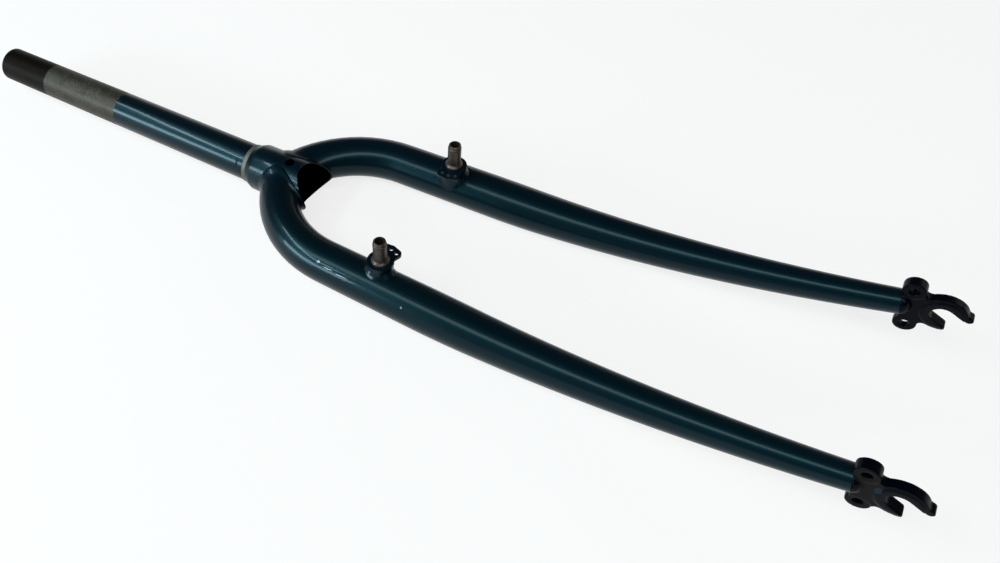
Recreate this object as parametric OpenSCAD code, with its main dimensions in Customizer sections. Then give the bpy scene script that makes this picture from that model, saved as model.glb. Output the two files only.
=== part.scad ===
// Rigid steel bicycle fork with a threaded steerer, two bent blades and cantilever brake studs.
// The origin is the middle of the crown race seat, on the steerer's axis.
// +X runs down the steerer towards the wheel's axle, +Y to the rider's left, +Z to the front.
// The fork lies on its back, so its front, with the brake studs, faces up.

/* [Steerer] */
// Outside diameter of the steerer
steerer_d = 25.4; // [24:0.1:27]
// Bore of the steerer, for the quill stem
steerer_bore_d = 22.2; // [20:0.1:23]
// Length of the steerer above the middle of the race seat
steerer_up = 248; // [160:1:300]
// Length of the threaded top
thread_l = 47; // [30:1:70]
// Diameter of the crown race seat
seat_d = 26.4; // [25.6:0.1:28]
// Width of the bare race seat
seat_w = 3.2; // [2:0.1:6]
// Outside diameter of the swollen lower steerer
crown_d = 31.5; // [29.5:0.1:33]
// Wall of the swollen lower steerer
crown_wall = 2.4; // [1.6:0.1:3]
// Length below the race seat over which the steerer swells
swell_l = 5; // [3:0.5:8]
// Distance from the race seat down to the steerer's open lower end, at its sides
crown_end = 52.5; // [50:0.5:56]
// Depth of the arch cut into the front and back of that end
arch_rise = 12.5; // [8:0.5:14]
// Width of the keyway in the back of the thread
keyway_w = 3.4; // [2.5:0.1:4.5]
// Depth of the keyway
keyway_depth = 0.8; // [0.5:0.1:1]

/* [Crown hole] */
// Diameter of the hole through the front and back of the crown
crown_hole_d = 6.5; // [5:0.1:8]
// Distance of the crown hole below the race seat
crown_hole_x = 31; // [28:0.5:33]

/* [Blades] */
// Outside diameter of a blade above its taper
blade_d = 26; // [24:0.2:28]
// Wall of a blade
blade_wall = 1.5; // [1:0.1:2]
// Outside diameter of a blade at its lower end
blade_tip_d = 12.6; // [11:0.1:15]
// Radius of the bend at the crown, on the blade's centre line
bend_r = 68; // [62:1:74]
// Distance below the race seat at which the bend ends
bend_end = 88; // [84:1:96]
// Distance from the steerer's axis to a blade's axis at the end of the bend
blade_out = 47.2; // [45:0.1:50]
// Distance from the end of the bend to the start of the taper
taper_start = 62; // [55:1:75]
// Distance from the end of the bend to the start of the rake
rake_start = 71; // [65:1:90]
// Radius of the raked curve
rake_r = 715; // [600:5:900]
// Length of the blade's centre line from the end of the bend to its lower end
leg_l = 272; // [250:1:300]
// Width of the weld bead between a blade and the steerer
crown_bead = 2.2; // [1:0.1:3]
// Length of the domed end that closes a blade
dome_l = 4.6; // [3:0.1:6]

/* [Dropouts] */
// Distance between the inner faces of the two dropouts
hub_w = 100; // [96:0.5:104]
// Thickness of a dropout
drop_t = 5; // [4:0.1:7]
// Height of the worn land round the slot, on both faces
land_h = 0.5; // [0.3:0.1:1]
// Width of the axle slot
slot_w = 9.4; // [9:0.1:10]
// Distance from the blade's lower end to the axle's centre, along the steerer's direction
drop_run = 16.2; // [14:0.1:20]
// Distance of the axle's centre in front of the blade's lower end
drop_rise = 1.2; // [0:0.1:4]
// Distance of the blade's axis inside the middle of the dropout
tip_inset = 0.9; // [0:0.1:1.5]
// Angle of the slot behind the steerer's direction
slot_turn = 27; // [15:1:40]
// Radius of the forged hook round the axle
hook_r = 9.8; // [9:0.1:11]
// Radius of the land round the axle
land_r = 8.3; // [7:0.1:8.6]
// Outside diameter of an eyelet
eyelet_d = 9.6; // [8.6:0.1:11]
// Diameter of the tapped hole in an eyelet, for an M5 screw
eyelet_hole_d = 4.2; // [4:0.1:5]
// Thickness of the rear eyelet, which is set back from the outer face
rear_eyelet_t = 3.8; // [3:0.1:5]

/* [Brake studs] */
// Distance from the race seat down to the brake studs
stud_x = 125; // [118:0.5:132]
// Distance from the steerer's axis to a brake stud's axis
stud_out = 43.6; // [41:0.1:46]
// Diameter of the stud that carries the brake arm
stud_d = 8; // [7:0.1:9]
// Length of the stud above the spring plate
stud_l = 16.5; // [14:0.5:20]
// Diameter of the hole in the stud, for the M6 screw
stud_hole_d = 5; // [4:0.1:5.5]
// Depth of the hole in the stud
stud_hole_l = 15; // [10:0.5:18]
// Width of the stud's flared foot
foot_d = 10.4; // [9.5:0.1:12]
// Diameter of the barrel welded to the blade
barrel_d = 14.5; // [13:0.1:16]
// Height of the barrel's top above the blade's axis
barrel_top = 17.6; // [16:0.1:22]
// Width of the weld bead round the barrel
boss_bead = 2; // [1:0.1:3]
// Diameter of the stud's shank inside the barrel
shank_d = 8; // [6:0.1:9]
// Length of the shank inside the barrel
shank_l = 4; // [3:0.1:4.5]

/* [Spring plates] */
// Thickness of the plate that holds the brake spring
plate_t = 2; // [1.5:0.1:3]
// Diameter of the plate round the stud
plate_d = 15.5; // [14:0.1:17]
// Diameter of the three spring holes
spring_hole_d = 2.4; // [2:0.1:2.8]
// Distance of the spring holes from the stud's axis
spring_hole_r = 10.2; // [9.6:0.1:11.4]
// Angle between two spring holes
spring_hole_step = 24; // [18:0.5:28]
// Angle of the middle hole, inboard from the direction of the axle
spring_hole_turn = 84; // [70:1:100]
// Width of metal outside the spring holes
plate_margin = 1.6; // [1:0.1:2]

/* [Hidden] */
$fn = 64;
// Small overlap that lets one cut run past a face
past = 1;
paint = "#123a44";
oily = "#4a4036";
right = -1;
left = 1;

steerer_r = steerer_d / 2;
seat_r = seat_d / 2;
crown_r = crown_d / 2;
crown_bore_r = crown_r - crown_wall;
blade_r = blade_d / 2;
tip_r = blade_tip_d / 2;
// Depth of the chamfer at the top of the thread
thread_lead = 1;
// Length over which the bore widens inside the crown
bore_swell_l = 8;
// Height of the shoulder that stops the crown race
shoulder_l = 0.6;

// Sides of a blade's tube, and the rings along its bend, its lower part, its bead and its saddle
tube_sides = 32;
bend_rings = 12;
leg_rings = 20;
bead_rings = 4;
saddle_rings = 5;
// Share of the taper that eases in
taper_ease = 0.16;
// Closed length at the lower end, and the vents from the steerer into each blade
tip_plug = 6;
vent_d = 6;
// Spread of each blade, which brings its lower end to the middle of the dropout
splay = asin((hub_w / 2 + land_h + drop_t / 2 - tip_inset - blade_out) / leg_u(leg_l));

// A blade's own frame starts at the end of the bend: +X down the blade, +Y outboard
function rake_angle(s) = s < rake_start ? 0 : (s - rake_start) / rake_r * 180 / PI;
function leg_u(s) = s < rake_start ? s : rake_start + rake_r * sin(rake_angle(s));
function leg_z(s) = rake_r * (1 - cos(rake_angle(s)));
// Share of the taper passed at length s, with a soft start
function taper_share(t) = (t < taper_ease ? t * t / (2 * taper_ease) : t - taper_ease / 2)
                          / (1 - taper_ease / 2);
function leg_r(s) = blade_r - (blade_r - tip_r) * taper_share((s - taper_start) / (leg_l - taper_start));
function leg_ring(s, r) = [for (k = [0:tube_sides - 1]) let (a = k * 360 / tube_sides, b = rake_angle(s))
    turn_out([leg_u(s) - r * sin(a) * sin(b), r * cos(a), leg_z(s) + r * sin(a) * cos(b)])];
// From the blade's own frame to the fork's
function turn_out(p) = [bend_end + p[0] * cos(splay) - p[1] * sin(splay),
                        blade_out + p[0] * sin(splay) + p[1] * cos(splay), p[2]];
// The bend turns about an axis along Z. At t = 1 each line along the tube meets the steerer
bend_mid = turn_out([0, -bend_r, 0]);
function mitre_angle(q, z) = acos((sqrt(crown_r * crown_r - z * z) - bend_mid[1]) / q);
function bend_ring(t, r) = [for (k = [0:tube_sides - 1])
    let (a = k * 360 / tube_sides, q = bend_r + r * cos(a), z = r * sin(a),
         turn = splay + t * (mitre_angle(q, z) - splay))
            [bend_mid[0] - q * sin(turn), bend_mid[1] + q * cos(turn), z]];
// The bead is as high as the steerer's side has room for, and starts at the share bead_t of the bend
bead_h = min(crown_bead, crown_r - shoulder_l - blade_r);
bead_t = 1 - crown_bead / (bend_r * (mitre_angle(bend_r, 0) - splay) * PI / 180);

// Where a blade's lower end and its slope are, in the fork's frame
tip_u = leg_u(leg_l);
tip_x = bend_end + tip_u * cos(splay);
tip_z = leg_z(leg_l);
tip_slope = rake_angle(leg_l);
axle_x = tip_x + drop_run;
axle_z = tip_z + drop_rise;

// A dropout lies in a plane of its own, with the axle at its origin
front_eyelet = [-14.6, 9.1];
rear_eyelet = [-10.1, -13.3];
drop_in = hub_w / 2 + land_h;
// The middle of the blade's lower end, as the dropout sees it
throat = [tip_x - axle_x, tip_z - axle_z];
// Angle between two points on the slot's round end
slot_step = 6;
// Half the height of the dropout where it is welded to the blade's end
throat_h = tip_r - 1.2;
// Fillet between the dropout's parts, and rounding of its corners
drop_fillet = 2;
drop_round = 1.1;
// The front prong's tip: its place along the slot, and its size
prong_at = 7.6;
prong_r = 1.7;
// Where the web meets the hook, as shares of the hook's radius
web_back = 0.4;
web_side = 0.6;
// Steps round the profile of the dome
dome_steps = 8;

// Heights of the brake stud's parts above the blade's axis
plate_z = barrel_top;
stud_z = plate_z + plate_t;
foot_h = 1;
// Groove and rounding at the stud's end: depth, width, and distance from the end
groove_h = 0.4;
groove_w = 1.4;
groove_at = 2.2;

module at_leg(side) {
    mirror([0, side == right ? 1 : 0, 0])
        translate([bend_end, blade_out, 0])
            rotate([0, 0, splay])
                children();
}

module at_tip(side) {
    at_leg(side) translate([tip_u, 0, tip_z]) rotate([0, -tip_slope, 0]) children();
}

module at_stud(side) {
    mirror([0, side == right ? 1 : 0, 0])
        translate([stud_x, stud_out, 0])
            children();
}

module at_dropout(side) {
    mirror([0, side == right ? 1 : 0, 0])
        translate([axle_x, 0, axle_z])
            children();
}

// A cylinder along +X from x0 to x1
module along_x(r, x0, x1) {
    translate([x0, 0, 0]) rotate([0, 90, 0]) cylinder(r = r, h = x1 - x0);
}

// Rings of one blade in order: up the outside, over the bead, across the joint, down the inside
function leg_at(share, inset, s_end) = let (s = taper_start + (s_end - taper_start) * share)
    leg_ring(s, leg_r(s) - inset);
function tube_rings() = let (n = bend_rings, m = leg_rings, inner_r = blade_r - blade_wall) concat(
    [for (i = [m:-1:0]) leg_at(i / m, 0, leg_l)],
    [for (i = [0:n]) bend_ring(bead_t * i / n, blade_r)],
    [for (i = [1:bead_rings])
        bend_ring(bead_t + (1 - bead_t) * i / bead_rings, blade_r + bead_h * sin(90 * i / bead_rings))],
    [for (i = [1:saddle_rings])
        bend_ring(1, blade_r + bead_h - (bead_h + blade_wall) * i / saddle_rings)],
    [for (i = [n - 1:-1:0]) bend_ring(i / n, inner_r)],
    [for (i = [0:m]) leg_at(i / m, blade_wall, leg_l - tip_plug)]);

// The skin between rings that follow each other, and a fan that closes one ring at a middle point
function skin(rings, sides) = [for (i = [0:rings - 2], k = [0:sides - 1])
    let (a = i * sides + k, b = i * sides + (k + 1) % sides)
        each [[a, b + sides, b], [a, a + sides, b + sides]]];
function fan(mid, first, sides, flip) = [for (k = [0:sides - 1])
    let (a = first + k, b = first + (k + 1) % sides) flip ? [mid, b, a] : [mid, a, b]];

// A closed body of revolution or tube from its rings, with a middle point for each end
module ringed_body(rings, first_mid, last_mid) {
    sides = len(rings[0]);
    last = (len(rings) - 1) * sides;
    polyhedron(
        points = concat([for (q = rings) each q], [first_mid, last_mid]),
        faces = concat(skin(len(rings), sides), fan(last + sides, 0, sides, false),
                       fan(last + sides + 1, last, sides, true)),
        convexity = 6);
}

// One bent, tapered and raked tube, open at the steerer and closed at its lower end
module blade_tube() {
    ringed_body(tube_rings(), leg_ring(leg_l, 0)[0], leg_ring(leg_l - tip_plug, 0)[0]);
}

// Round hole from side to side through the steerer, which opens into both blades
module vents() {
    translate([crown_hole_x, 0, 0])
        rotate([90, 0, 0]) cylinder(d = vent_d, h = 2 * (crown_r + past), center = true);
}

// Arch across the steerer's lower end, so that it follows the inner curve of the blades
module crown_arch() {
    arch_r = (crown_r * crown_r + arch_rise * arch_rise) / (2 * arch_rise);
    arch_h = 2 * (crown_r + past);
    translate([crown_end - arch_rise + arch_r, 0, 0]) {
        cylinder(r = arch_r, h = arch_h, center = true);
        translate([0, -arch_r, -arch_h / 2]) cube([arch_r + past, 2 * arch_r, arch_h]);
    }
}

module steerer_tube() {
    x0 = -steerer_up;
    seat0 = -seat_w / 2;
    seat1 = seat_w / 2;
    color(paint)
        difference() {
            rotate([0, 90, 0])
                rotate_extrude()
                    polygon([
                        [steerer_bore_d / 2, x0],
                        [steerer_r - thread_lead, x0],
                        [steerer_r, x0 + thread_lead],
                        [steerer_r, seat0 - shoulder_l],
                        [seat_r, seat0],
                        [seat_r, seat1],
                        [seat_r + shoulder_l, seat1],
                        [crown_r, seat1 + swell_l],
                        [crown_r, crown_end],
                        [crown_bore_r, crown_end],
                        [crown_bore_r, seat1 + bore_swell_l],
                        [steerer_bore_d / 2, seat1]
                    ]);
            translate([crown_hole_x, 0, 0])
                cylinder(d = crown_hole_d, h = 2 * (crown_r + past), center = true);
            vents();
            crown_arch();
            translate([x0 - past, -keyway_w / 2, -steerer_r - past])
                cube([thread_l + past, keyway_w, keyway_depth + past]);
        }
}

module blade(side) {
    color(paint) mirror([0, side == right ? 1 : 0, 0]) blade_tube();
}

// A flat disc or plate of the dropout between two distances from its inner face
module drop_plate(from, to) {
    translate([0, drop_in + to, 0]) rotate([90, 0, 0]) linear_extrude(to - from) children();
}

// The axle slot, with its round end at the axle
module slot_shape() {
    round_end = [for (a = [90:slot_step:270]) slot_w / 2 * [cos(a), sin(a)]];
    mouth = [[2 * hook_r, -slot_w / 2], [2 * hook_r, slot_w / 2]];
    rotate(-slot_turn) polygon(concat(round_end, mouth));
}

// Outline of the forged plate: hook, web and eyelets, with the slot cut and the corners rounded
module drop_outline() {
    lean = [cos(tip_slope), sin(tip_slope)];
    across = [-lean[1], lean[0]];
    rear_side = rear_eyelet - [eyelet_d / 2 - drop_round, 0];
    offset(r = drop_round) offset(r = -drop_round)
        difference() {
            offset(r = -drop_fillet) offset(r = drop_fillet) {
                circle(r = hook_r);
                rotate(-slot_turn) translate([prong_at, slot_w / 2 + prong_r]) circle(r = prong_r);
                translate(front_eyelet) circle(d = eyelet_d);
                translate(rear_eyelet) circle(d = eyelet_d);
                polygon([
                    throat + throat_h * across,
                    front_eyelet,
                    hook_r * [-web_back, web_side],
                    hook_r * [-web_back, -web_side],
                    rear_eyelet,
                    rear_side,
                    throat - throat_h * across
                ]);
            }
            slot_shape();
        }
}

// The dome that closes the blade's end and carries the dropout
module tip_dome(side) {
    at_tip(side)
        rotate([0, 90, 0])
            rotate_extrude()
                polygon(concat([[0, 0]], [for (i = [0:dome_steps])
                    let (a = 90 * i / dome_steps) [tip_r * cos(a), dome_l * sin(a)]]));
}

module dropout(side) {
    color(paint)
        difference() {
            union() {
                at_dropout(side)
                    difference() {
                        union() {
                            drop_plate(0, drop_t) drop_outline();
                            drop_plate(-land_h, drop_t + land_h)
                                difference() {
                                    circle(r = land_r);
                                    slot_shape();
                                }
                            drop_plate(-land_h, drop_t + land_h)
                                translate(front_eyelet) circle(d = eyelet_d);
                        }
                        drop_plate(rear_eyelet_t, drop_t + past)
                            translate(rear_eyelet) circle(d = eyelet_d);
                    }
                tip_dome(side);
            }
            at_tip(side) along_x(leg_r(leg_l - eyelet_d), -eyelet_d, 0);
            at_dropout(side)
                drop_plate(-land_h - past, drop_t + land_h + past) {
                    translate(front_eyelet) circle(d = eyelet_hole_d);
                    translate(rear_eyelet) circle(d = eyelet_hole_d);
                }
        }
}

// The brake stud's axis in the blade's own frame
stud_u = (stud_x - bend_end) * cos(splay) + (stud_out - blade_out) * sin(splay);
stud_v = (stud_out - blade_out) * cos(splay) - (stud_x - bend_end) * sin(splay);
barrel_sides = 48;
// Chamfer of the barrel's top, the bead's height, and where the bead's middle is between blade and barrel
barrel_edge = 0.5;
bead_rise = min(boss_bead, (barrel_top - blade_r) / 2);
bead_mid = 0.6;
// Rings across the barrel's saddle
barrel_rings = 3;

// A point of the blade's skin, at angle a and distance r from the stud's axis.
// It moves on by out along the skin.
function on_blade(a, r, out) = let (v = max(-blade_r, min(blade_r, stud_v + r * sin(a))),
                                    lean = asin(v / blade_r) + out * sin(a) / blade_r * 180 / PI)
    [stud_u + (r + out) * cos(a), blade_r * sin(lean), blade_r * cos(lean)];
function skin_ring(r, out, share) = [for (k = [0:barrel_sides - 1])
    let (a = k * 360 / barrel_sides, root = on_blade(a, r, 0))
        root + share * (on_blade(a, r, out) - root) + [0, 0, (1 - share) * (out > 0 ? bead_rise : 0)]];
function level_ring(r, z) = [for (k = [0:barrel_sides - 1])
    let (a = k * 360 / barrel_sides) [stud_u + r * cos(a), stud_v + r * sin(a), z]];

// Barrel with a saddle that fits the blade, a weld bead round it and a socket for the stud's shank
module boss_barrel(side) {
    r = barrel_d / 2;
    socket_r = shank_d / 2 / cos(180 / barrel_sides);
    socket_z = barrel_top - shank_l;
    saddle = [for (f = [barrel_rings:-1:1]) skin_ring(r * f / barrel_rings, 0, 0)];
    bead = [for (share = [0, bead_mid, 1]) skin_ring(r, boss_bead, share)];
    color(paint)
        at_leg(side)
            ringed_body(
                concat(
                    [level_ring(socket_r, socket_z), level_ring(socket_r, barrel_top),
                     level_ring(r - barrel_edge, barrel_top), level_ring(r, barrel_top - barrel_edge)],
                    bead,
                    saddle),
                level_ring(0, socket_z)[0], on_blade(0, 0, 0));
}

module at_spring_holes() {
    for (i = [-1:1])
        rotate(-spring_hole_turn - i * spring_hole_step)
            translate([spring_hole_r, 0])
                children();
}

// Plate round the stud's shank, with a lobe that holds the brake spring in one of three holes
module spring_plate(side) {
    color(paint)
        at_stud(side)
            translate([0, 0, plate_z])
                difference() {
                    linear_extrude(plate_t) {
                        circle(d = plate_d);
                        hull() {
                            circle(d = shank_d);
                            at_spring_holes() circle(r = spring_hole_d / 2 + plate_margin);
                        }
                    }
                    translate([0, 0, -past]) {
                        cylinder(d = shank_d, h = plate_t + 2 * past);
                        at_spring_holes() cylinder(d = spring_hole_d, h = plate_t + 2 * past, $fn = 32);
                    }
                }
}

module brake_stud(side) {
    top = stud_z + stud_l;
    color(oily)
        at_stud(side)
            difference() {
                rotate_extrude()
                    polygon([
                        [0, barrel_top - shank_l],
                        [shank_d / 2, barrel_top - shank_l],
                        [shank_d / 2, stud_z],
                        [foot_d / 2, stud_z],
                        [foot_d / 2, stud_z + foot_h],
                        [stud_d / 2, stud_z + 2 * foot_h],
                        [stud_d / 2, top - groove_at],
                        [stud_d / 2 - groove_h, top - groove_at + groove_h],
                        [stud_d / 2 - groove_h, top - groove_at + groove_h + groove_w],
                        [stud_d / 2 - 2 * groove_h, top],
                        [0, top]
                    ]);
                translate([0, 0, top - stud_hole_l])
                    cylinder(d = stud_hole_d, h = stud_hole_l + past);
            }
}

steerer_tube();
blade(right);  // right_blade
blade(left);  // left_blade
dropout(right);  // right_dropout
dropout(left);  // left_dropout
boss_barrel(right);  // right_boss_barrel
boss_barrel(left);  // left_boss_barrel
spring_plate(right);  // right_spring_plate
spring_plate(left);  // left_spring_plate
brake_stud(right);  // right_brake_stud
brake_stud(left);  // left_brake_stud
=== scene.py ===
# %% [markdown]
# # A bicycle fork on a white ground
# The fork is one rigid thing, welded from steel tubes and forged ends, then painted.
# Its solids come from the CAD model, at their real size and in their real place.
# This lesson photographs them: a camera, a ground, lamps, the cut thread and the finishes.

import math

import bmesh
import bpy
from mathutils import Euler, Matrix, Vector


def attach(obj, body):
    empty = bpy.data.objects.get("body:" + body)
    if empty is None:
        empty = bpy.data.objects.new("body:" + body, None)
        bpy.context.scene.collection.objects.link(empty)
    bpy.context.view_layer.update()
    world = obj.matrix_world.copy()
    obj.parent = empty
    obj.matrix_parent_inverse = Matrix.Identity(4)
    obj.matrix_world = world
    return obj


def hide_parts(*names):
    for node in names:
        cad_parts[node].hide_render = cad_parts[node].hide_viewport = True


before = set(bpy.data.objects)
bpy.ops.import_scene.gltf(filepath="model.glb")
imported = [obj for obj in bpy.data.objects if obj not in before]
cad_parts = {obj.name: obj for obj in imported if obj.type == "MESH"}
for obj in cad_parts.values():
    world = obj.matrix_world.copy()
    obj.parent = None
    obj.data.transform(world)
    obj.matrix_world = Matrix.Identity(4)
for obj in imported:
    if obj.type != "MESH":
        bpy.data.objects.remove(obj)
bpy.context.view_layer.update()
print("nodes:", ", ".join(sorted(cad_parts)))

# %% [markdown]
# ## Sizes that the finishes need
# Paint, bare steel and thread follow each other along the steerer, so the finishes have to know where each
# ends. They could be read from the meshes, but plain numbers in metres are easier to follow. The race seat
# reaches as far above X = 0 as below it. The thread's oil reaches a little further than its groove. X runs
# down the fork from the crown race seat, Y to the rider's left, and Z to the front.

# %% Named places on the fork
MM = 0.001
STEERER_RADIUS = 12.7 * MM
RACE_SEAT = 1.6 * MM
PAINT_END = -121.8 * MM
OIL_END = -197.5 * MM
THREAD_END = -201 * MM
CROWN_RADIUS = 15.75 * MM
print("paint ends", round(-PAINT_END / MM, 1), "mm above the race seat")

# %% [markdown]
# ## Copies that may be changed
# The CAD model's own meshes stay as they are. Where the eye wants more shape than it gives, a copy stands in.
# A copy first loses its split corners and stored normals, so that modifiers see one closed skin.
# Afterwards it rides on the same body as its node, and the node that it replaces is hidden.

# %% Copies and stand-ins
SAME_CORNER = 0.001 * MM


def free_copy(node_name, name):
    """A copy of a CAD node with its split corners joined."""
    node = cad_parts[node_name]
    mesh = node.data.copy()
    skin = bmesh.new()
    skin.from_mesh(mesh)
    bmesh.ops.remove_doubles(skin, verts=skin.verts, dist=SAME_CORNER)
    skin.to_mesh(mesh)
    skin.free()
    for stored in ("custom_normal", "sharp_edge", "sharp_face"):
        if stored in mesh.attributes:
            mesh.attributes.remove(mesh.attributes[stored])
    copy = bpy.data.objects.new(name, mesh)
    copy.matrix_world = node.matrix_world.copy()
    bpy.context.scene.collection.objects.link(copy)
    return copy


def stand_in(piece, node_name):
    """Makes the piece's modifiers final and lets it stand for the node."""
    bpy.context.view_layer.update()
    final = piece.evaluated_get(bpy.context.evaluated_depsgraph_get())
    shape = bpy.data.meshes.new_from_object(final)
    piece.modifiers.clear()
    piece.data = shape
    shape.shade_smooth()
    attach(piece, "root")
    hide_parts(node_name)


print("helpers for copies ready")

# %% [markdown]
# ## The thread
# A 1 inch steerer is threaded with 24 turns to the inch. The CAD model keeps a plain cylinder as wide as
# the crests. A bump could draw the grooves, but the outline would stay straight, and here it shows against
# white. So the groove is cut for real: a long three-sided bar is wound round the steerer, and a Boolean
# takes it away. The bar lifts out of the metal over its last half turn, as a cutting tool does.

# %% Wind the bar
PITCH = 25.4 / 24 * MM
THREAD_DEPTH = 0.6 * MM
THREAD_START = -249 * MM
SIDES = 48
LIP = 0.1 * MM
HALF_MOUTH = 0.47 * PITCH

turns = (THREAD_END - THREAD_START) / PITCH
steps = int(turns * SIDES)
rings = []
for i in range(steps + 1):
    angle = 2 * math.pi * i / SIDES
    middle = THREAD_START + PITCH * i / SIDES
    lift = max(0, 1 - 2 * (steps - i) / SIDES) * (THREAD_DEPTH + LIP / 2)
    for shift, radius in ((-HALF_MOUTH, LIP), (0, -THREAD_DEPTH), (HALF_MOUTH, LIP)):
        r = STEERER_RADIUS + radius + lift
        rings.append((middle + shift, r * math.cos(angle), r * math.sin(angle)))
faces = [(0, 1, 2), tuple(3 * steps + k for k in (2, 1, 0))]
for i in range(steps):
    for k in range(3):
        a, b = 3 * i + k, 3 * i + (k + 1) % 3
        faces.append((a, a + 3, b + 3, b))
bar_mesh = bpy.data.meshes.new("thread bar")
bar_mesh.from_pydata(rings, [], faces)
bar = bpy.data.objects.new("thread bar", bar_mesh)
bpy.context.scene.collection.objects.link(bar)
print("bar of", round(turns), "turns has", len(faces), "faces")

# %% Cut the thread
CREST_ANGLE = math.radians(30)

threaded = free_copy("steerer_tube", "threaded_steerer")
cut = threaded.modifiers.new("thread", "BOOLEAN")
cut.operation, cut.solver, cut.object = "DIFFERENCE", "EXACT", bar
stand_in(threaded, "steerer_tube")
threaded.data.set_sharp_from_angle(angle=CREST_ANGLE)
bpy.data.objects.remove(bar)
print("the threaded steerer has", len(threaded.data.polygons), "faces")

# %% [markdown]
# ## Forged ends
# A dropout is forged, ground and sprayed, so none of its edges is sharp, although the CAD model's are. A
# bevel would need clean edges of even length, and this shape has many short ones. So it is cast anew in
# cubes of a third of a millimetre, and their surface is smoothed. That rounds each edge.

# %% Soften the dropouts
CUBE = 0.33 * MM
SMOOTHING = 7
SMOOTH_SHARE = 0.5
softened = []
for side in ("right", "left"):
    soft = free_copy(side + "_dropout", "softened_" + side + "_dropout")
    cast = soft.modifiers.new("cast", "REMESH")
    cast.mode, cast.voxel_size = "VOXEL", CUBE
    smoothed = soft.modifiers.new("smooth", "SMOOTH")
    smoothed.factor, smoothed.iterations = SMOOTH_SHARE, SMOOTHING
    stand_in(soft, side + "_dropout")
    softened.append(soft)
    print(soft.name, "has", len(soft.data.polygons), "faces")

# %% [markdown]
# ## Round tubes
# A drawn tube is truly round, but the blades' and bosses' meshes have flat facets, and a long highlight
# would jump from facet to facet. More facets would cost triangles, so copies with smooth shading stand in
# instead. Edges sharper than a limit, such as the rim at the crown, stay sharp.

# %% Shade the tubes smooth
RIM_ANGLE = math.radians(38)

tubes = []
for side in ("right", "left"):
    for part in ("blade", "boss_barrel"):
        tube = free_copy(side + "_" + part, "smooth_" + side + "_" + part)
        stand_in(tube, side + "_" + part)
        tube.data.set_sharp_from_angle(angle=RIM_ANGLE)
        tubes.append(tube)
        print(tube.name, "has", len(tube.data.polygons), "faces")

# %% [markdown]
# ## The camera
# The photograph was taken by hand from above the fork's front, a little to the rider's right, with a wide
# lens. Its middle isn't the middle of the lens, because the picture was cropped, and a shift of the lens
# says so. The camera could be given as three angles, but a place and an aim are easier to picture. It is
# turned to look at the aim and then rolled, which is how a hand holds it.

# %% Place the camera
CAMERA_PLACE = Vector((0.2786, -0.2778, 0.3622))
CAMERA_AIM = Vector((0.06069, -0.03394, 0))
CAMERA_ROLL = math.radians(9.333)
CAMERA_LENS = 28.4
CAMERA_SHIFT = (0.2, -0.0515)

camera_data = bpy.data.cameras.new("camera")
camera = bpy.data.objects.new("camera", camera_data)
bpy.context.scene.collection.objects.link(camera)
bpy.context.scene.camera = camera
look = (CAMERA_AIM - CAMERA_PLACE).to_track_quat("-Z", "Y").to_matrix()
rolled = look @ Matrix.Rotation(-CAMERA_ROLL, 3, "Z")
camera.matrix_world = Matrix.Translation(CAMERA_PLACE) @ rolled.to_4x4()
camera_data.lens = CAMERA_LENS
camera_data.shift_x, camera_data.shift_y = CAMERA_SHIFT
camera_data.clip_start = 0.01
print("camera stands", round((CAMERA_PLACE - CAMERA_AIM).length, 3), "m from what it looks at")

# %% [markdown]
# ## Nodes in few words
# A material is a tree of nodes. Written out in full, each node takes five lines, so small helpers keep the
# rest readable. `add` makes a node and sets its values, and an input may be given as a number or as another
# node's output. `maths` and `blend` are short words for the two nodes that come most often.

# %% Helpers for nodes
def add(tree, kind, inputs=None, **settings):
    """Makes a node. inputs maps a socket's name or number to a value or to another node's output."""
    node = tree.nodes.new("ShaderNode" + kind)
    for name, value in settings.items():
        setattr(node, name, value)
    for name, value in (inputs or {}).items():
        if isinstance(value, bpy.types.NodeSocket):
            tree.links.new(value, node.inputs[name])
        else:
            node.inputs[name].default_value = value
    return node


def maths(tree, operation, a, b=0.0):
    """One sum, product or comparison of two values."""
    return add(tree, "Math", {0: a, 1: b}, operation=operation).outputs[0]


def blend(tree, share, a, b):
    """A mix of two colours by a mask."""
    mix = add(tree, "Mix", data_type="RGBA")
    for socket, value in (("Factor_Float", share), ("A_Color", a), ("B_Color", b)):
        target = next(s for s in mix.inputs if s.identifier == socket)
        if isinstance(value, bpy.types.NodeSocket):
            tree.links.new(value, target)
        else:
            target.default_value = value
    return next(s for s in mix.outputs if s.identifier == "Result_Color")


print("node helpers ready")

# %% [markdown]
# An effect that several finishes share is a node group: a small tree with named sockets, built once.
# `group` makes one, `use` places it in a material, and `material` and `finish_with` open and close a
# material.

# %% Helpers for groups and materials
def group(name, inputs, outputs):
    """A new shader group with named sockets. Returns it with its inner input and output nodes."""
    tree = bpy.data.node_groups.new(name, "ShaderNodeTree")
    for label, (kind, value) in inputs.items():
        socket = tree.interface.new_socket(label, in_out="INPUT", socket_type="NodeSocket" + kind)
        socket.default_value = value
    for label, kind in outputs.items():
        tree.interface.new_socket(label, in_out="OUTPUT", socket_type="NodeSocket" + kind)
    return tree, tree.nodes.new("NodeGroupInput").outputs, tree.nodes.new("NodeGroupOutput").inputs


def use(tree, effect, **inputs):
    """Places a group in a material and returns its first output."""
    node = tree.nodes.new("ShaderNodeGroup")
    node.node_tree = effect
    for name, value in inputs.items():
        name = name.replace("_", " ").capitalize()
        if isinstance(value, bpy.types.NodeSocket):
            tree.links.new(value, node.inputs[name])
        else:
            node.inputs[name].default_value = value
    return node.outputs[0]


def material(name):
    """A material with only its output, and the place of each point in metres."""
    made = bpy.data.materials.new(name)
    made.use_nodes = True
    tree = made.node_tree
    tree.nodes.clear()
    place = tree.nodes.new("ShaderNodeTexCoord").outputs["Object"]
    return made, tree, place


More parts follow.
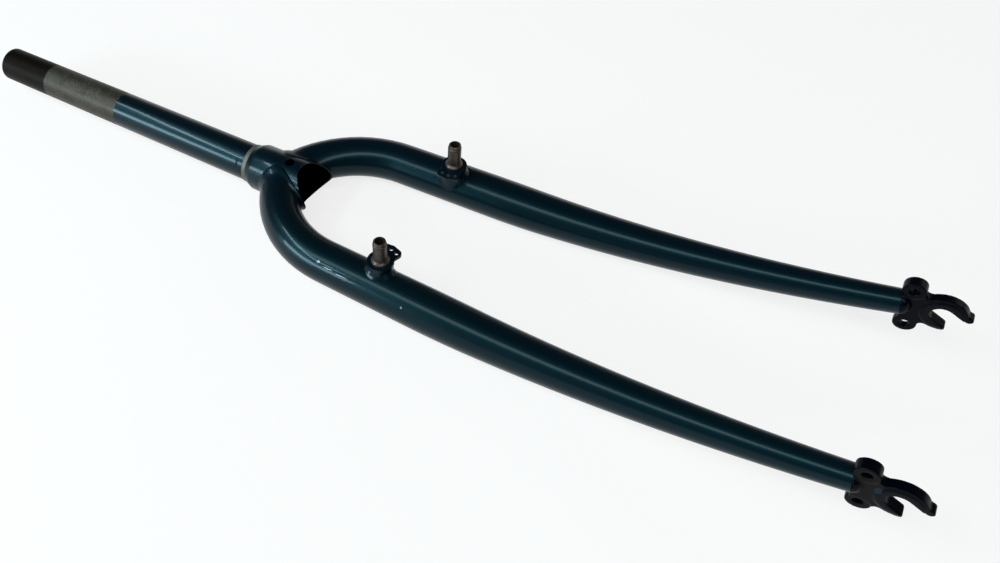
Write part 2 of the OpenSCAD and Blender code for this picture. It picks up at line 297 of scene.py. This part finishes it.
def finish_with(tree, shader):
    """Sends the shader to the material's output."""
    output = tree.nodes.new("ShaderNodeOutputMaterial")
    tree.links.new(shader.outputs[0], output.inputs["Surface"])


print("group helpers ready")

# %% [markdown]
# ## Effects that several finishes share
# Sprayed enamel is never quite flat: it has a faint ripple, called orange peel, which makes long highlights
# waver. Its hollows are about a hundredth of a millimetre deep, too shallow for geometry, so noise at a small
# scale goes through a Bump node.

# %% Orange peel
ripple, ripple_in, ripple_out = group(
    "paint ripple",
    {"Place": ("Vector", (0, 0, 0)), "Scale": ("Float", 300.0), "Height": ("Float", 0.00002)},
    {"Normal": "Vector"},
)
ripple_settings = {"Vector": ripple_in["Place"], "Scale": ripple_in["Scale"], "Detail": 2.0}
ripple_noise = add(ripple, "TexNoise", ripple_settings)
ripple_bump = add(ripple, "Bump", {"Height": ripple_noise.outputs[0], "Distance": ripple_in["Height"]})
ripple.links.new(ripple_bump.outputs[0], ripple_out["Normal"])
print(ripple.name, "makes a normal")

# %% [markdown]
# A chip or a rubbed spot has a middle, a reach and a ragged rim.
# The distance from the middle is compared with the reach, and noise moves the rim in and out.
# Each mark could be a small mesh laid on the paint, but a mask costs no triangles and can be one line long.

# %% Ragged spot
spot, spot_in, spot_out = group(
    "ragged spot",
    {
        "Place": ("Vector", (0, 0, 0)),
        "Middle": ("Vector", (0, 0, 0)),
        "Stretch": ("Vector", (1, 1, 1)),
        "Reach": ("Float", 0.001),
        "Ragged": ("Float", 0.3),
    },
    {"Mask": "Float"},
)
away = add(spot, "VectorMath", {0: spot_in["Place"], 1: spot_in["Middle"]}, operation="SUBTRACT")
away = add(spot, "VectorMath", {0: away.outputs[0], 1: spot_in["Stretch"]}, operation="DIVIDE")
away = add(spot, "VectorMath", {0: away.outputs[0]}, operation="LENGTH")
away = maths(spot, "DIVIDE", away.outputs["Value"], spot_in["Reach"])
rim_noise = add(spot, "TexNoise", {"Vector": spot_in["Place"], "Scale": 1400.0, "Detail": 3.0})
rim = maths(spot, "SUBTRACT", rim_noise.outputs[0], 0.5)
rim = maths(spot, "MULTIPLY", rim, maths(spot, "MULTIPLY", spot_in["Ragged"], 4.0))
edge = maths(spot, "ADD", away, rim)
inside = add(spot, "MapRange", {"Value": edge, "From Min": 1.06, "From Max": 0.94})
spot.links.new(inside.outputs[0], spot_out["Mask"])
print(spot.name, "makes a mask")

# %% [markdown]
# Masking tape leaves an edge that is straight from far off and slightly uneven from close up. A plain limit
# would be too clean, so noise moves it to and fro. The same group serves for the end of the paint, the end of
# the thread's oil and the race seat's two sides.

# %% Masked edge
taped, taped_in, taped_out = group(
    "taped edge",
    {
        "Place": ("Vector", (0, 0, 0)),
        "Along": ("Float", 0.0),
        "Start": ("Float", 0.0),
        "Waver": ("Float", 0.0005),
        "Soft": ("Float", 0.0001),
    },
    {"Mask": "Float"},
)
waver_noise = add(taped, "TexNoise", {"Vector": taped_in["Place"], "Scale": 260.0, "Detail": 4.0})
waver = maths(taped, "MULTIPLY", maths(taped, "SUBTRACT", waver_noise.outputs[0], 0.5), taped_in["Waver"])
past_start = maths(taped, "ADD", maths(taped, "SUBTRACT", taped_in["Along"], taped_in["Start"]), waver)
share = maths(taped, "DIVIDE", past_start, taped_in["Soft"])
clamped = add(taped, "Clamp", {"Value": maths(taped, "ADD", share, 0.5)})
taped.links.new(clamped.outputs[0], taped_out["Mask"])
print(taped.name, "makes a mask")

# %% [markdown]
# Handling leaves fine hair scratches in gloss enamel and in bare steel. Drawing each one would take a long
# list, but very long, thin cells of noise, kept only where they pass a high limit, give lines that start
# and stop.

# %% Hair scratches
CELLS_PER_METRE = (90, 2600, 2600)

hairs, hairs_in, hairs_out = group(
    "hair scratches",
    {"Place": ("Vector", (0, 0, 0)), "Turn": ("Float", 0.4), "Rare": ("Float", 0.7)},
    {"Mask": "Float"},
)
turned = add(hairs, "VectorRotate", {"Vector": hairs_in["Place"], "Angle": hairs_in["Turn"]})
stretched = add(hairs, "VectorMath", {0: turned.outputs[0], 1: CELLS_PER_METRE}, operation="MULTIPLY")
hair_noise = add(hairs, "TexNoise", {"Vector": stretched.outputs[0], "Scale": 1.0, "Detail": 1.0})
hair_limit = maths(hairs, "SUBTRACT", hair_noise.outputs[0], hairs_in["Rare"])
hair = add(hairs, "MapRange", {"Value": hair_limit, "From Min": 0.0, "From Max": 0.04})
hairs.links.new(hair.outputs[0], hairs_out["Mask"])
print(hairs.name, "makes a mask")

# %% [markdown]
# ## The paint
# The fork is sprayed in a very dark petrol blue under a hard clear gloss. The Principled shader's coat is
# that gloss, and the dark colour lies under it. A mirror-like shader alone would lose the colour in the
# highlights, so the layer under the coat has a wide, blue-green shine of its own, as flakes of metal in a
# paint have. Chips show dull steel, and they take the coat away with the colour.

# %% Colour of the enamel
PAINT = (0.0002, 0.0032, 0.0078, 1)
PAINT_GREENER = (0.0002, 0.0052, 0.0076, 1)


def enamel(tree, place):
    """Colour of the paint: petrol blue with slow, faint changes towards green."""
    cloud = add(tree, "TexNoise", {"Vector": place, "Scale": 9.0, "Detail": 1.0})
    return blend(tree, cloud.outputs[0], PAINT, PAINT_GREENER)


print("enamel ready")

# %% [markdown]
# Modelled chips would need a very fine mesh, so each mark is a mask. Its middle is a place seen on the real
# fork, close to the blade's skin, and a scratch is a spot that is stretched along the blade.

# %% Marks on the blades
# Each mark: its middle, its stretch along X, Y and Z, and its reach, in millimetres
BLADE_MARKS = [
    ((146.5, -58.9, 8), (1, 1, 1), 0.7),
    ((90, -55.4, 9.5), (1.3, 1, 1), 0.9),
    ((97, -56.6, 9), (7, 0.9, 0.35), 0.55),
    ((107, -57, 8.6), (9, 0.9, 0.3), 0.5),
    ((66, -45.5, 11.8), (2.5, 1.6, 0.5), 0.5),
    ((341, -50.6, 29), (0.8, 1, 1), 0.6),
]


def marks_mask(tree, place, marks):
    """One mask of all the marks in a list."""
    mask = 0.0
    for middle, stretch, reach in marks:
        middle = [v * MM for v in middle]
        one = use(tree, spot, place=place, middle=middle, stretch=stretch, reach=reach * MM)
        mask = maths(tree, "MAXIMUM", mask, one)
    return mask


print(len(BLADE_MARKS), "chips and scratches")

# %% [markdown]
# Now the layers come together. The roughness rises in the hair scratches, and a chip takes the coat away.

# %% Gloss enamel
METAL_GLINT = (0.3, 0.85, 1, 1)
STEEL = (0.15, 0.17, 0.18, 1)
COAT_WEIGHT = 0.14
COAT_ROUGHNESS = 0.05
UNDER_GLOSS = 0.19
UNDER_ROUGHNESS = 0.32
SCRATCH_ROUGHNESS = 0.2
PEEL_SCALE = 220.0
PEEL_HEIGHT = 0.012 * MM

gloss_paint, tree, place = material("gloss_paint")
scratched = use(tree, hairs, place=place, turn=0.35, rare=0.74)
chipped = marks_mask(tree, place, BLADE_MARKS)
coloured = blend(tree, chipped, enamel(tree, place), STEEL)
gloss_shader = add(tree, "BsdfPrincipled", {
    "Base Color": coloured,
    "Roughness": maths(tree, "ADD", maths(tree, "MULTIPLY", scratched, SCRATCH_ROUGHNESS), UNDER_ROUGHNESS),
    "Metallic": chipped,
    "Specular IOR Level": UNDER_GLOSS,
    "Specular Tint": METAL_GLINT,
    "Coat Weight": maths(tree, "MULTIPLY", maths(tree, "SUBTRACT", 1.0, chipped), COAT_WEIGHT),
    "Coat Roughness": COAT_ROUGHNESS,
    "Normal": use(tree, ripple, place=place, scale=PEEL_SCALE, height=PEEL_HEIGHT),
})
finish_with(tree, gloss_shader)
print(gloss_paint.name, "has a coat of weight", COAT_WEIGHT)

# %% [markdown]
# ## The steerer
# It carries four finishes in a row: oily thread, bare steel that was inside the head tube, gloss paint, and
# the bare ring where the crown race was pressed on. Below the ring the paint goes on over the crown.
# Four materials on four sets of faces would need cuts in the mesh, so masks along X lay the finishes over one
# another in that order, and each edge can waver. First come the colours.

# %% Colours along the steerer
BARE_STEERER = (0.040, 0.036, 0.027, 1)
OLD_GREASE = (0.023, 0.018, 0.010, 1)
BRIGHT_LINE = (0.22, 0.21, 0.19, 1)
THREAD_DARK = (0.0042, 0.0028, 0.0018, 1)
NICK_AND_PAINTED_SHADE = (0.0004, 0.0004, 0.0006, 1)
SEAT_METAL = (0.11, 0.105, 0.09, 1)
LINE_SHARE = 0.7
OIL_WAVER = 1 * MM
PAINT_WAVER = 1.6 * MM

steerer_finish, tree, place = material("steerer_finish")
along = add(tree, "SeparateXYZ", {0: place}).outputs["X"]
smears = add(tree, "TexNoise", {"Vector": place, "Scale": 55.0, "Detail": 6.0, "Distortion": 1.4})
smeared = add(tree, "MapRange", {"Value": smears.outputs[0], "From Min": 0.45, "From Max": 0.75})
bare = blend(tree, smeared.outputs[0], BARE_STEERER, OLD_GREASE)
bare_start = use(tree, taped, place=place, along=along, start=OIL_END, waver=OIL_WAVER)
paint_start = use(tree, taped, place=place, along=along, start=PAINT_END, waver=PAINT_WAVER)
seat_start = use(tree, taped, place=place, along=along, start=-RACE_SEAT)
seat_end = use(tree, taped, place=place, along=along, start=RACE_SEAT)
on_seat = maths(tree, "SUBTRACT", seat_start, seat_end)
lines = use(tree, hairs, place=place, turn=1.1, rare=0.66)
bare = blend(tree, maths(tree, "MULTIPLY", lines, LINE_SHARE), bare, BRIGHT_LINE)
colour = blend(tree, bare_start, THREAD_DARK, bare)
colour = blend(tree, paint_start, colour, enamel(tree, place))
colour = blend(tree, on_seat, colour, SEAT_METAL)
print(steerer_finish.name, "has 4 finishes in a row")

# %% [markdown]
# The paint has a dark nick above the race seat. Inside the crown no paint came, and hardly any light does, so
# everything nearer to the axis than the outer wall is painted near black there as shade, in the same colour
# as the nick.

# %% Nick and painted shade inside the crown
NICK_PLACE = (-6.5 * MM, -10.4 * MM, 7.3 * MM)
NICK_STRETCH = (0.32, 1, 1)
NICK_REACH = 2.6 * MM
OUTER_SKIN = 0.35 * MM
INSIDE_START = 11.2 * MM

nick = use(tree, spot, place=place, middle=NICK_PLACE, stretch=NICK_STRETCH, reach=NICK_REACH, ragged=0.12)
colour = blend(tree, nick, colour, NICK_AND_PAINTED_SHADE)
across = add(tree, "VectorMath", {0: place, 1: (0, 1, 1)}, operation="MULTIPLY").outputs[0]
from_axis = add(tree, "VectorMath", {0: across}, operation="LENGTH").outputs["Value"]
within = maths(tree, "LESS_THAN", from_axis, CROWN_RADIUS - OUTER_SKIN)
painted_shade_inside = maths(tree, "MULTIPLY", within, maths(tree, "GREATER_THAN", along, INSIDE_START))
# Painted shade: the inside of the crown is coloured near black, because little light reaches it.
colour = blend(tree, painted_shade_inside, colour, NICK_AND_PAINTED_SHADE)
print("the crown is black nearer than", round((CROWN_RADIUS - OUTER_SKIN) / MM, 2), "mm to the axis")

# %% [markdown]
# Paint, metal and oil also differ in how they shine, so the same masks set the roughness, the metal and the
# coat. The gloss under the coat and its tint change at plain limits, because wavering edges don't show in
# them. Where the blades are welded on, the paint runs over the weld's ripple, which a stronger bump gives.

# %% Shine of the steerer
CLEAR_GLINT = (1, 1, 1, 1)
THREAD_GLOSS = 0.05
BARE_ROUGHNESS = 0.16
BARE_METALLIC = 0.3
WELD_PLACE = (11 * MM, -12 * MM, 5 * MM)
WELD_STRETCH = (0.5, 1, 1)
WELD_REACH = 9 * MM
WELD_SCALE = 500.0
WELD_HEIGHT = 0.22 * MM

not_nicked = maths(tree, "SUBTRACT", 1.0, nick)
painted = maths(tree, "MULTIPLY", maths(tree, "SUBTRACT", paint_start, on_seat), not_nicked)
not_painted = maths(tree, "SUBTRACT", 1.0, painted)
# Inside the crown the gloss and the coat are taken away too, so that no reflection shows there. This is part
# of the painted shade.
outside = maths(tree, "SUBTRACT", 1.0, painted_shade_inside)
off_thread = maths(tree, "GREATER_THAN", along, OIL_END)
more_gloss = maths(tree, "MULTIPLY", off_thread, UNDER_GLOSS - THREAD_GLOSS)
gloss_level = maths(tree, "ADD", more_gloss, THREAD_GLOSS)
off_seat = maths(tree, "GREATER_THAN", maths(tree, "ABSOLUTE", along), RACE_SEAT)
in_paint = maths(tree, "MULTIPLY", maths(tree, "GREATER_THAN", along, PAINT_END), off_seat)
by_weld = use(tree, spot, place=place, middle=WELD_PLACE, stretch=WELD_STRETCH, reach=WELD_REACH)
ripple_scale = maths(tree, "ADD", maths(tree, "MULTIPLY", by_weld, WELD_SCALE), PEEL_SCALE)
ripple_height = maths(tree, "ADD", maths(tree, "MULTIPLY", by_weld, WELD_HEIGHT), PEEL_HEIGHT)
steerer_shader = add(tree, "BsdfPrincipled", {
    "Base Color": colour,
    "Roughness": maths(tree, "ADD", maths(tree, "MULTIPLY", not_painted, BARE_ROUGHNESS), UNDER_ROUGHNESS),
    "Metallic": maths(tree, "MULTIPLY", not_painted, BARE_METALLIC),
    "Specular IOR Level": maths(tree, "MULTIPLY", outside, gloss_level),
    "Specular Tint": blend(tree, in_paint, CLEAR_GLINT, METAL_GLINT),
    "Coat Weight": maths(tree, "MULTIPLY", maths(tree, "MULTIPLY", painted, outside), COAT_WEIGHT),
    "Coat Roughness": COAT_ROUGHNESS,
    "Normal": use(tree, ripple, place=place, scale=ripple_scale, height=ripple_height),
})
finish_with(tree, steerer_shader)
print(steerer_finish.name, "is glossy from", round(PAINT_END / MM, 1), "mm down to the crown")

# %% [markdown]
# ## The dropouts
# Wheel nuts and screws were clamped here again and again, so the paint on the flat faces is rubbed to grey
# steel. Rubbing everywhere by noise would miss that, so each rubbed place is where a nut sat: near the
# faces, and within a nut's reach of the axle and of each eyelet.

# %% Rubbed places
FORGED_GREY = (0.0085, 0.008, 0.0078, 1)
DROPOUT_PAINT = (0.0003, 0.001, 0.003, 1)
BLUE_REST = (0.014, 0.034, 0.05, 1)
EYELET_FRONT = (358.9, 38.4)
EYELET_REAR = (363.4, 16)
AXLE = (373.5, 29.3)
WEB = (361, 29)
FLAT = 0.09
GRAIN_LEAST = 0.45
GRAIN_SHARE = 0.9

# Each rubbed place: its X and Z, its distance from the middle plane with its side, its reach, and its stretch
# along Z
RUBBED = [
    (AXLE, 49.5, 8.9, 1),
    (AXLE, -49.5, 8.9, 1),
    (EYELET_FRONT, -56, 4.7, 1),
    (EYELET_FRONT, 49.5, 4.7, 1),
    (EYELET_REAR, -54, 4.6, 1),
    (EYELET_REAR, 50, 4.6, 1),
    (WEB, -55.5, 6.2, 1.7),
]

worn_dropout, tree, place = material("worn_dropout")
rubs = add(tree, "TexNoise", {"Vector": place, "Scale": 420.0, "Detail": 5.0})
rubbed = marks_mask(tree, place, [((x, y, z), (1, FLAT, tall), reach) for (x, z), y, reach, tall in RUBBED])
rub_share = maths(tree, "ADD", maths(tree, "MULTIPLY", rubs.outputs[0], GRAIN_SHARE), GRAIN_LEAST)
rubbed = maths(tree, "MULTIPLY", rubbed, rub_share)
print(worn_dropout.name, "is rubbed in", len(RUBBED), "places")

# %% [markdown]
# What isn't rubbed keeps a thin, nearly black blue with a weak coat. Rubbed steel is rougher and has no coat.
# One patch of a paler blue is left on the near face.

# %% Blue patch and shine of the dropouts
PATCH_PLACE = (365.5 * MM, -55.5 * MM, 31.5 * MM)
PATCH_STRETCH = (0.7, 0.3, 1.1)
PATCH_REACH = 2.1 * MM
PATCH_LEAST = 0.15
DROPOUT_GLOSS = 0.03
DROPOUT_ROUGHNESS = 0.3
DROPOUT_COAT = 0.06
DROPOUT_COAT_ROUGHNESS = 0.09
RUBBED_ROUGHNESS = 0.25
RUBBED_METALLIC = 0.25
FORGED_SCALE = 500.0
FORGED_HEIGHT = 0.06 * MM

patch = use(tree, spot, place=place, middle=PATCH_PLACE, stretch=PATCH_STRETCH, reach=PATCH_REACH, ragged=0.2)
patch = maths(tree, "MULTIPLY", patch, maths(tree, "ADD", rubs.outputs[0], PATCH_LEAST))
colour = blend(tree, rubbed, DROPOUT_PAINT, FORGED_GREY)
colour = blend(tree, patch, colour, BLUE_REST)
dropout_shader = add(tree, "BsdfPrincipled", {
    "Base Color": colour,
    "Roughness": maths(tree, "ADD", maths(tree, "MULTIPLY", rubbed, RUBBED_ROUGHNESS), DROPOUT_ROUGHNESS),
    "Metallic": maths(tree, "MULTIPLY", rubbed, RUBBED_METALLIC),
    "Specular IOR Level": DROPOUT_GLOSS,
    "Coat Weight": maths(tree, "MULTIPLY", maths(tree, "SUBTRACT", 1.0, rubbed), DROPOUT_COAT),
    "Coat Roughness": DROPOUT_COAT_ROUGHNESS,
    "Normal": use(tree, ripple, place=place, scale=FORGED_SCALE, height=FORGED_HEIGHT),
})
finish_with(tree, dropout_shader)
print(worn_dropout.name, "has a blue patch", round(2 * PATCH_REACH / MM, 1), "mm wide")

# %% [markdown]
# ## The brake studs
# They were left bare so that a brake arm can turn on them, and a film of old grease has browned them. A
# second material for the grease would need a mask too, so one metal goes from steel to film by noise, and
# it is rougher where the film lies.

# %% Oily studs
STUD_STEEL = (0.095, 0.08, 0.066, 1)
STUD_FILM = (0.02, 0.013, 0.008, 1)
STUD_ROUGHNESS = 0.25
FILM_ROUGHNESS = 0.3
STUD_METALLIC = 0.7

oily_stud, tree, place = material("oily_stud")
film = add(tree, "TexNoise", {"Vector": place, "Scale": 380.0, "Detail": 5.0})
colour = blend(tree, film.outputs[0], STUD_STEEL, STUD_FILM)
stud_shader = add(tree, "BsdfPrincipled", {
    "Base Color": colour,
    "Roughness": maths(tree, "ADD", maths(tree, "MULTIPLY", film.outputs[0], FILM_ROUGHNESS), STUD_ROUGHNESS),
    "Metallic": STUD_METALLIC,
})
finish_with(tree, stud_shader)
print(oily_stud.name, "is bare steel under a film")

# %% [markdown]
# ## Which piece wears which finish
# A finish could be put on by hand for each of the eleven nodes, but their names already say what they are,
# so a word in the name picks the finish. Of the CAD meshes only the material slots are set. The copies get
# theirs too.

# %% Dress the nodes
DRESS = {
    "blade": gloss_paint,
    "barrel": gloss_paint,
    "plate": gloss_paint,
    "steerer": steerer_finish,
    "dropout": worn_dropout,
    "stud": oily_stud,
}
for name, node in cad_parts.items():
    worn = next(finish for word, finish in DRESS.items() if word in name)
    node.data.materials.clear()
    node.data.materials.append(worn)
    print(name, "wears", worn.name)
copies = [(threaded, steerer_finish)]
copies += [(soft, worn_dropout) for soft in softened]
copies += [(tube, gloss_paint) for tube in tubes]
for piece, worn in copies:
    piece.data.materials.clear()
    piece.data.materials.append(worn)
    print(piece.name, "wears", worn.name)

# %% [markdown]
# ## The ground
# The fork lies on its back: the crown and the blades' backs touch the ground. That would tilt the fork by a
# degree or so, but the fork stays where it is and the ground is tilted instead. The picture's ground is
# plain white. A pale diffuse ground would come out grey at a plain light level, so where the camera or a
# reflection sees it, some white is added. The shadow stays, since the rest is still lit. Far from the fork
# the lamps' light fades, and more white is added there.

# %% Ground
REST_NEAR = Vector((0.012, 0, -0.01575))
REST_FAR = Vector((0.16, 0, -0.0131))
GROUND_SIZE = 60
GROUND_COLOUR = (0.21, 0.205, 0.2, 1)
WHITE_NEAR = 0.77
WHITE_FAR = 1.0
LIT_WITHIN = 0.5
UNLIT_BEYOND = 2.5

ground_mesh = bpy.data.meshes.new("ground")
half = GROUND_SIZE / 2
corners = [(-half, -half, 0), (half, -half, 0), (half, half, 0), (-half, half, 0)]
ground_mesh.from_pydata(corners, [], [(0, 1, 2, 3)])
ground = bpy.data.objects.new("ground", ground_mesh)
bpy.context.scene.collection.objects.link(ground)
rise = math.atan2(REST_FAR.z - REST_NEAR.z, REST_FAR.x - REST_NEAR.x)
ground.location = REST_NEAR
ground.rotation_euler = Euler((0, -rise, 0))

white_ground, tree, place = material("white_ground")
ray = add(tree, "LightPath").outputs
seen = maths(tree, "MAXIMUM", ray["Is Camera Ray"], ray["Is Glossy Ray"])
seen = maths(tree, "MAXIMUM", seen, ray["Is Transmission Ray"])
matt = add(tree, "BsdfDiffuse", {"Color": GROUND_COLOUR})
white = add(tree, "MapRange", {
    "Value": add(tree, "VectorMath", {0: place}, operation="LENGTH").outputs["Value"],
    "From Min": LIT_WITHIN,
    "From Max": UNLIT_BEYOND,
    "To Min": WHITE_NEAR,
    "To Max": WHITE_FAR,
})
glow_strength = maths(tree, "MULTIPLY", seen, white.outputs[0])
glow = add(tree, "Emission", {"Color": (1, 1, 1, 1), "Strength": glow_strength})
finish_with(tree, add(tree, "AddShader", {0: matt.outputs[0], 1: glow.outputs[0]}))
ground_mesh.materials.append(white_ground)
print("ground tilts by", round(math.degrees(rise), 2), "degrees")

# %% [markdown]
# ## Light
# Long tubes show lamps as long bands, so each lamp is a rectangle that lies along a tube's band. Round
# lamps would show as dots. One wide soft lamp overhead gives the broad pale band, and two cool windows to
# the left give the bright streaks on the steerer and on the near bend. A weak lamp on the far side keeps
# that side from going black.

# %% A lamp for long bands
def lamp(name, direction, along, distance, size, radiance, colour):
    """A rectangular lamp in a direction from the crown, facing it, with its first side along another."""
    data = bpy.data.lights.new(name, "AREA")
    data.shape = "RECTANGLE"
    data.size, data.size_y = size
    data.energy = radiance * math.pi * size[0] * size[1]
    data.color = colour
    back = Vector(direction).normalized()
    up = back.cross(Vector(along)).normalized()
    turn = Matrix((up.cross(back), up, back)).transposed()
    lamp_object = bpy.data.objects.new(name, data)
    lamp_object.matrix_world = Matrix.Translation(back * distance) @ turn.to_4x4()
    bpy.context.scene.collection.objects.link(lamp_object)
    print(name, "shines with", round(data.energy, 1), "W")


print("lamp helper ready")

# %% Lamps
# Each lamp: its name, its direction, the direction of its first side, its distance, its size, its strength as
# light per area, and its colour
lamp("soft ceiling", (0.05, -0.5, 0.86), (1, 0, 0), 1.7, (3.2, 0.42), 5.2, (0.9, 1, 0.98))
lamp("low window", (-0.6, -0.75, 0.27), (0.78, -0.62, 0), 2.0, (1.2, 0.4), 21, (0.78, 0.92, 1))
lamp("high window", (-0.57, -0.43, 0.68), (0.38, -0.69, -0.15), 2.0, (1.6, 0.14), 25, (0.72, 0.9, 1))
lamp("far fill", (0.5, 0.8, 0.45), (1, 0, 0), 2.2, (1.6, 0.8), 1.4, (1, 0.97, 0.93))

# %% [markdown]
# A white world would lighten the whole paint, and a black one would leave the tubes' upper edges without an
# outline. So the world is white near the horizon, where a backdrop would stand, and dim overhead, where a
# ceiling would be. The camera sees white everywhere. Reflections see the dim ceiling.

# %% World
HORIZON = 0.03
OVERHEAD = 0.2
DIM = 0.06

world = bpy.data.worlds.new("studio")
bpy.context.scene.world = world
world.use_nodes = True
tree = world.node_tree
tree.nodes.clear()
way = add(tree, "TexCoord").outputs["Generated"]
height = add(tree, "SeparateXYZ", {0: way}).outputs["Z"]
fade = {"Value": height, "From Min": HORIZON, "From Max": OVERHEAD, "To Min": 1.0, "To Max": DIM}
level = add(tree, "MapRange", fade).outputs[0]
level = maths(tree, "MAXIMUM", level, add(tree, "LightPath").outputs["Is Camera Ray"])
sky = add(tree, "Background", {"Color": (1, 1, 1, 1), "Strength": level})
output = tree.nodes.new("ShaderNodeOutputWorld")
tree.links.new(sky.outputs[0], output.inputs["Surface"])
bpy.context.scene.view_settings.view_transform = "Standard"
print("world is white near the horizon and dim overhead")
